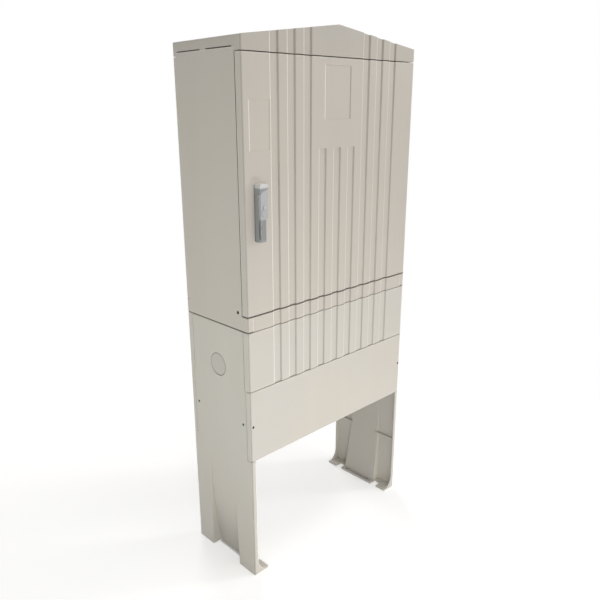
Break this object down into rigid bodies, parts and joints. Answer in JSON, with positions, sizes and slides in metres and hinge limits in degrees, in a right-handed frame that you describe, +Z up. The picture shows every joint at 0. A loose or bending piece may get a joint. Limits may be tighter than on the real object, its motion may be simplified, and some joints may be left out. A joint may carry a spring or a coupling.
{
  "type": "floor-standing cable distribution cabinet",
  "caption": "Moulded outdoor cabinet with a ribbed full-width door, rod lock, swing handle and gable roof on an open-footed plinth with removable covers.",
  "frame": {"origin": "ground level, middle of the part's box with the handle included", "axes": "+Z up, +X to the right seen from the front, door and handle towards -Y"},
  "size_m": [0.785, 0.3518, 1.7969],
  "materials": {
    "shell": "moulded, fine grain, beige grey",
    "plinth": "moulded, fine grain, pale beige grey",
    "steel": "zinc plated",
    "dark_screw": "black oxide",
    "handle": "grey powder coat over a die casting",
    "rubber": "black seal",
    "guide_plastic": "black moulded"
  },
  "bodies": {
    "enclosure": {"left_side_wall": "shell", "right_side_wall": "shell", "rear_wall": "shell", "front_sill": "shell", "rear_sill": "shell", "roof": "shell", "left_base_side": "plinth", "right_base_side": "plinth", "front_upper_cover": "plinth", "rear_upper_cover": "plinth", "front_lower_cover": "plinth", "rear_lower_cover": "plinth", "left_blanking_plug": "plinth", "right_blanking_plug": "plinth", "front_cable_rail": "steel", "rear_cable_rail": "steel", "upper_mounting_rail": "steel", "lower_mounting_rail": "steel", "upper_hinge_bracket": "steel", "lower_hinge_bracket": "steel", "upper_hinge_pin": "steel", "lower_hinge_pin": "steel", "plinth_bolts": "steel", "roof_bolts": "steel", "rear_wall_screws": "steel", "mounting_rail_bolts": "steel", "hinge_bracket_screws": "steel", "cable_rail_screws": "dark_screw", "cover_screws": "dark_screw", "sill_screws": "dark_screw", "door_seal": "rubber"},
    "door": {"door": "shell", "upper_hinge_leaf": "steel", "lower_hinge_leaf": "steel", "hinge_leaf_screws": "steel", "handle_housing": "handle", "lock_case": "steel", "lock_screws": "steel", "upper_rod_guide": "guide_plastic", "lower_rod_guide": "guide_plastic", "rod_guide_screws": "steel"},
    "spindle": {"spindle": "steel", "pinion": "steel"},
    "lever": {"lever": "handle", "lever_pin": "steel", "lock_cylinder": "steel", "cap_rivet": "steel"},
    "dust_cap": {"dust_cap": "steel"},
    "upper_lock_rod": {"upper_lock_rod": "steel"},
    "lower_lock_rod": {"lower_lock_rod": "steel"}
  },
  "joints": [
    {"name": "door_swing", "type": "hinge", "parent": "enclosure", "child": "door", "pos_m": [0.386, -0.1311, 1.3265], "axis": [0, 0, 1], "range_deg": [0, 120]},
    {"name": "handle_turn", "type": "hinge", "parent": "door", "child": "spindle", "pos_m": [-0.3415, -0.1441, 1.318], "axis": [0, -1, 0], "range_deg": [0, 90]},
    {"name": "lever_lift", "type": "hinge", "parent": "spindle", "child": "lever", "pos_m": [-0.3415, -0.1665, 1.318], "axis": [-1, 0, 0], "range_deg": [0, 35]},
    {"name": "cap_swivel", "type": "hinge", "parent": "lever", "child": "dust_cap", "pos_m": [-0.3415, -0.1728, 1.283], "axis": [0, -1, 0], "range_deg": [-100, 100]},
    {"name": "upper_rod_slide", "type": "slide", "parent": "door", "child": "upper_lock_rod", "axis": [0, 0, -1], "range_m": [0, 0.0189]},
    {"name": "lower_rod_slide", "type": "slide", "parent": "door", "child": "lower_lock_rod", "axis": [0, 0, 1], "range_m": [0, 0.0189]}
  ],
  "couplings": [
    {"joint": "upper_rod_slide", "follows": "handle_turn", "m_per_rad": 0.012},
    {"joint": "lower_rod_slide", "follows": "handle_turn", "m_per_rad": 0.012}
  ]
}
